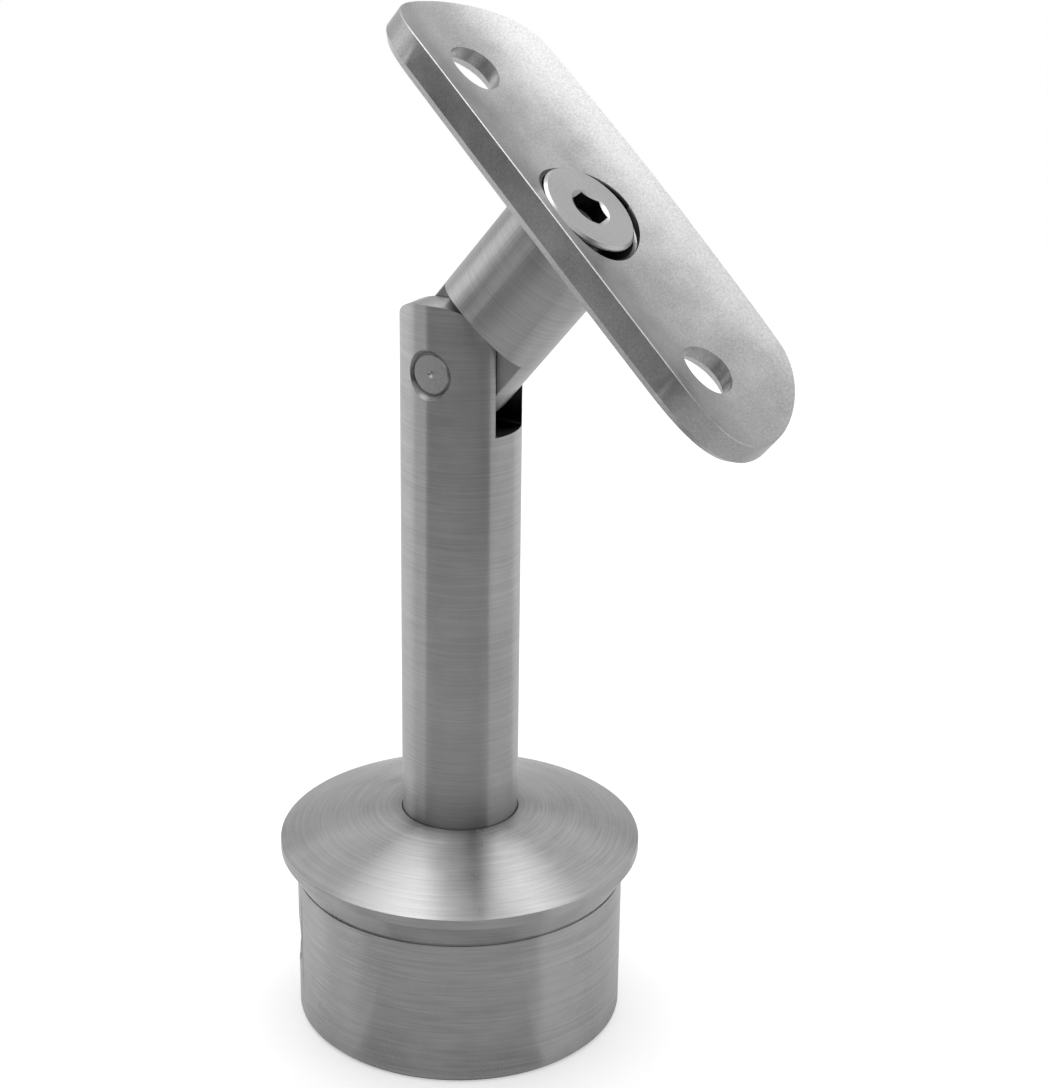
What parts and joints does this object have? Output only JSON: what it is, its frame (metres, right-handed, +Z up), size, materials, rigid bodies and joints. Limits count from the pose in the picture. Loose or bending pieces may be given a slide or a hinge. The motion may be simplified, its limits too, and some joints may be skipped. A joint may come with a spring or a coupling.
{
  "type": "handrail bracket",
  "caption": "Adjustable handrail bracket: domed cap that plugs into a round post, fork-topped stem, neck tilting on a cross pin, and a curved screw-down saddle plate.",
  "frame": {"origin": "on the post's axis at the top of the plug, in the plane where the end of the post comes to rest", "axes": "+Z up along the stem, away from the post; +Y along the cross pin; the neck leans from +Z towards +X"},
  "size_m": [0.0626, 0.0436, 0.1223],
  "materials": {
    "steel_turned": "turned and brushed stainless steel, fine rings about the post's axis",
    "steel_drawn": "ground stainless bar, satin",
    "steel_pin": "plain turned stainless pin",
    "steel_plate": "pressed stainless plate, fine grain along its length",
    "steel_screw": "plain stainless screw, slightly dull"
  },
  "bodies": {
    "post": {"base_cap": "steel_turned", "stem": "steel_drawn", "pivot_pin": "steel_pin", "stem_screw": "steel_screw", "stem_spring_washer": "steel_screw", "stem_plain_washer": "steel_screw"},
    "neck": {"neck_rod": "steel_drawn", "saddle_screw": "steel_screw"},
    "saddle": {"saddle_plate": "steel_plate"}
  },
  "joints": [
    {"name": "saddle_tilt", "type": "hinge", "parent": "post", "child": "neck", "pos_m": [0, 0, 0.0646], "axis": [0, 1, 0], "range_deg": [-124.5, 45.5]},
    {"name": "saddle_swivel", "type": "hinge", "parent": "neck", "child": "saddle", "pos_m": [0.01384, 0, 0.08138], "axis": [0.6361, 0, 0.7716], "continuous": true}
  ]
}
